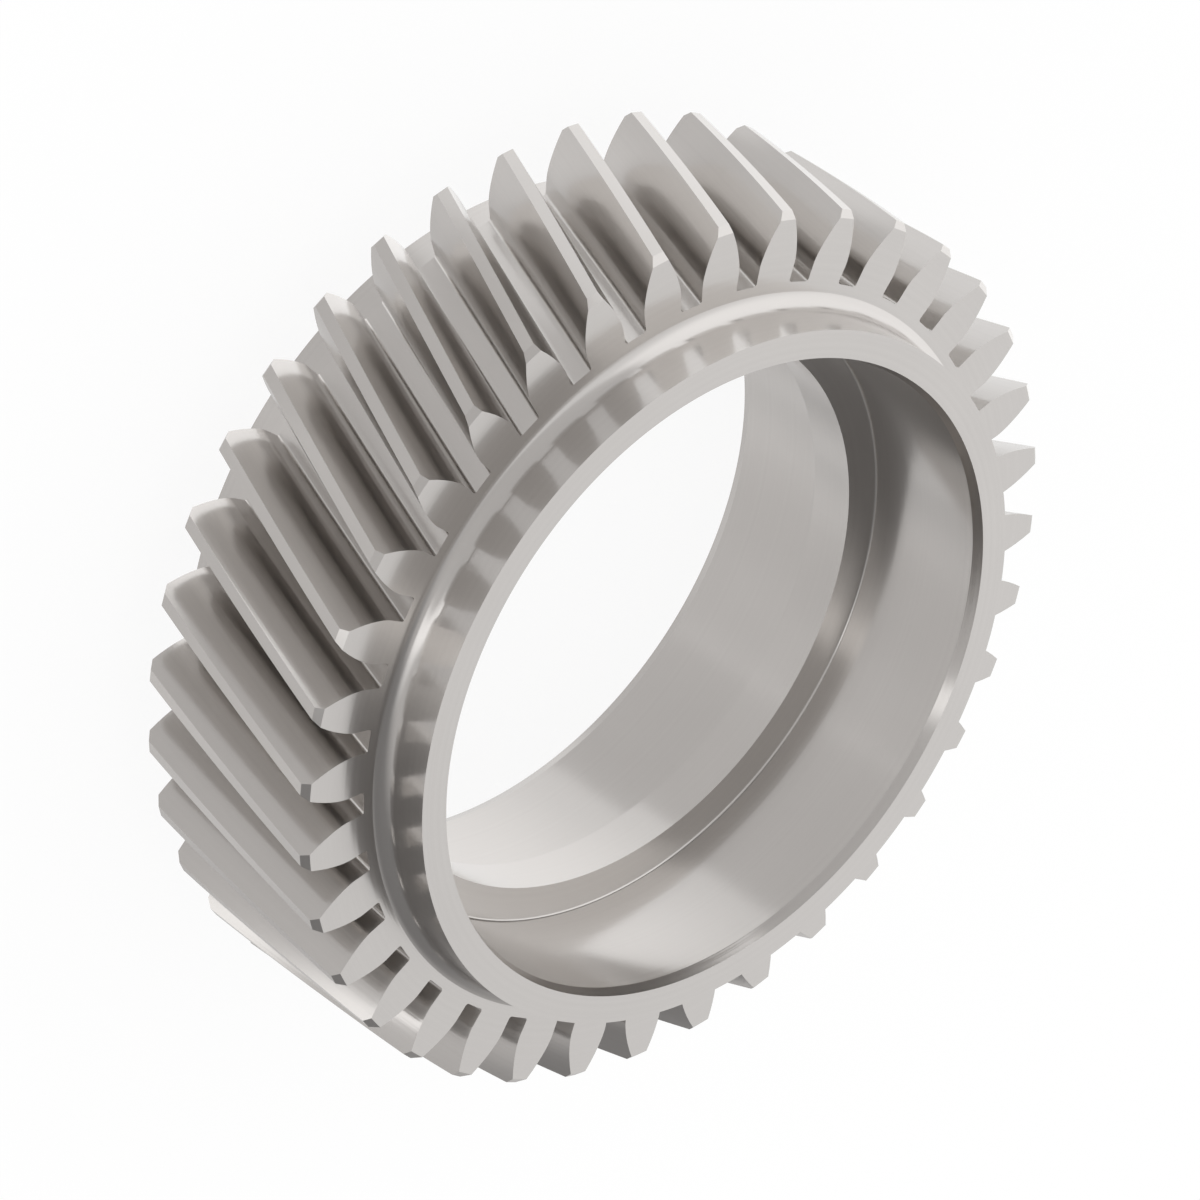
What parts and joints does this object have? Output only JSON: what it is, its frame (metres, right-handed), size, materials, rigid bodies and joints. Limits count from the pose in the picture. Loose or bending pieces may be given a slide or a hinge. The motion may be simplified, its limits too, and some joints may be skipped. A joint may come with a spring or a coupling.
{
  "type": "helical idler gear",
  "caption": "Helical gear ring with plain collars at both ends and a bore that takes a bearing from each end against a central rib.",
  "frame": {"origin": "centre of the back end face, on the axis of the bore", "axes": "+Z along the axis from the back end face to the front one; +X points through the middle of a tooth at half the gear's length"},
  "size_m": [0.1112, 0.1112, 0.042],
  "materials": {
    "steel": "satin, finely turned and ground"
  },
  "bodies": {
    "root": {"helical_gear": "steel"}
  },
  "joints": []
}
